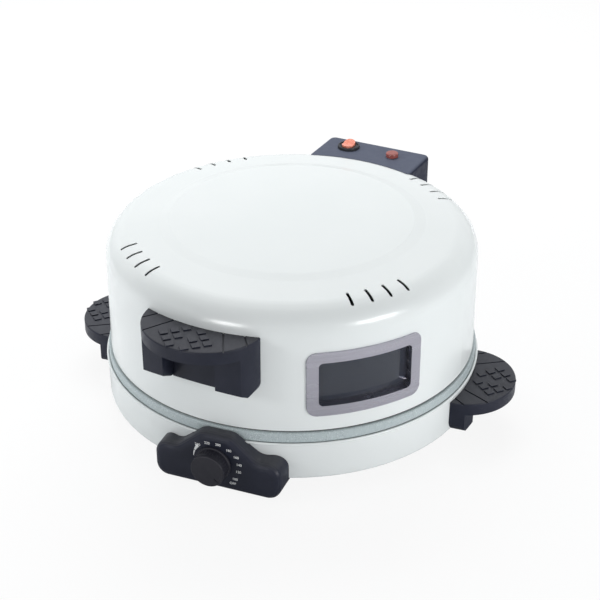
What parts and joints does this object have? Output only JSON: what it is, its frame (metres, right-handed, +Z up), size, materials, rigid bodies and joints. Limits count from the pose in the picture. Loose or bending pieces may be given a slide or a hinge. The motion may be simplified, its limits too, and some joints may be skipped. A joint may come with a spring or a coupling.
{
  "type": "electric flatbread maker",
  "caption": "Round countertop flatbread maker with a coated baking plate and a hinged domed lid with a viewing window, vents, handles, a dial and a power switch.",
  "frame": {"origin": "on the table under the centre of the dome", "axes": "+Z up, -Y towards the lid handle at the front, +Y towards the rear hinge"},
  "size_m": [0.5278, 0.514, 0.225],
  "materials": {
    "white_enamel": "glossy baked enamel",
    "speckled_coating": "speckled non-stick coating",
    "charcoal_plastic": "satin moulded phenolic",
    "slate_plastic": "satin moulded plastic",
    "knob_plastic": "satin moulded plastic",
    "galvanised_steel": "galvanised sheet",
    "aluminised_steel": "bright reflector sheet",
    "element_sheath": "heat-tinted sheath",
    "zinc_steel": "zinc plated",
    "stainless_frame": "brushed stainless",
    "brass": "bright",
    "window_glass": "tempered, smoked",
    "silicone": "matt",
    "foot_rubber": "matt",
    "lamp_red": "translucent",
    "rocker_orange": "translucent",
    "switch_black": "satin",
    "ceramic": "unglazed",
    "wire_sleeve": "braided sleeve"
  },
  "bodies": {
    "base": {"base_shell": "white_enamel", "bottom_plate": "galvanised_steel", "foot_screws": "zinc_steel", "rubber_foot_1": "foot_rubber", "rubber_foot_2": "foot_rubber", "rubber_foot_3": "foot_rubber", "rubber_foot_4": "foot_rubber", "baking_plate": "speckled_coating", "lower_reflector": "aluminised_steel", "lower_reflector_posts": "zinc_steel", "lower_element": "element_sheath", "lower_element_clips": "zinc_steel", "lower_terminals": "zinc_steel", "thermostat": "ceramic", "thermostat_nut": "brass", "control_panel": "charcoal_plastic", "control_panel_screws": "zinc_steel", "side_handle_left": "charcoal_plastic", "side_handle_right": "charcoal_plastic", "side_handle_screws": "zinc_steel", "base_hinge_bracket": "zinc_steel", "base_hinge_screws": "zinc_steel", "hinge_pin": "zinc_steel", "hinge_pin_clip": "zinc_steel", "base_hinge_housing": "slate_plastic", "base_housing_screws": "zinc_steel", "cord_gland": "switch_black", "gland_nut": "switch_black", "terminal_block": "ceramic", "supply_lead": "wire_sleeve", "supply_lead_clips": "zinc_steel", "element_leads": "wire_sleeve"},
    "lid": {"lid_shell": "white_enamel", "lid_seal": "silicone", "upper_reflector": "aluminised_steel", "upper_reflector_posts": "zinc_steel", "upper_element": "element_sheath", "upper_element_clips": "zinc_steel", "upper_terminals": "zinc_steel", "window_frame": "stainless_frame", "window_gasket": "silicone", "window_glass": "window_glass", "window_retainer": "zinc_steel", "lid_handle": "charcoal_plastic", "lid_handle_screws": "zinc_steel", "lid_hinge_bracket": "zinc_steel", "lid_hinge_screws": "zinc_steel", "switch_housing": "slate_plastic", "switch_housing_screws": "zinc_steel", "switch_body": "switch_black", "pilot_lamp_lens": "lamp_red", "pilot_lamp_body": "switch_black", "lid_leads": "wire_sleeve"},
    "dial": {"dial_knob": "knob_plastic", "thermostat_shaft": "zinc_steel"},
    "rocker": {"rocker_button": "rocker_orange"}
  },
  "joints": [
    {"name": "lid_hinge", "type": "hinge", "parent": "base", "child": "lid", "pos_m": [0, 0.244, 0.078], "axis": [-1, 0, 0], "range_deg": [0, 95]},
    {"name": "dial_spin", "type": "hinge", "parent": "base", "child": "dial", "pos_m": [0.02523, -0.23666, 0.0385], "axis": [0.0993, -0.9951, 0], "range_deg": [0, 225]},
    {"name": "rocker_tilt", "type": "hinge", "parent": "lid", "child": "rocker", "pos_m": [-0.0327, 0.217, 0.2172], "axis": [1, 0, 0], "range_deg": [-16, 0]}
  ]
}
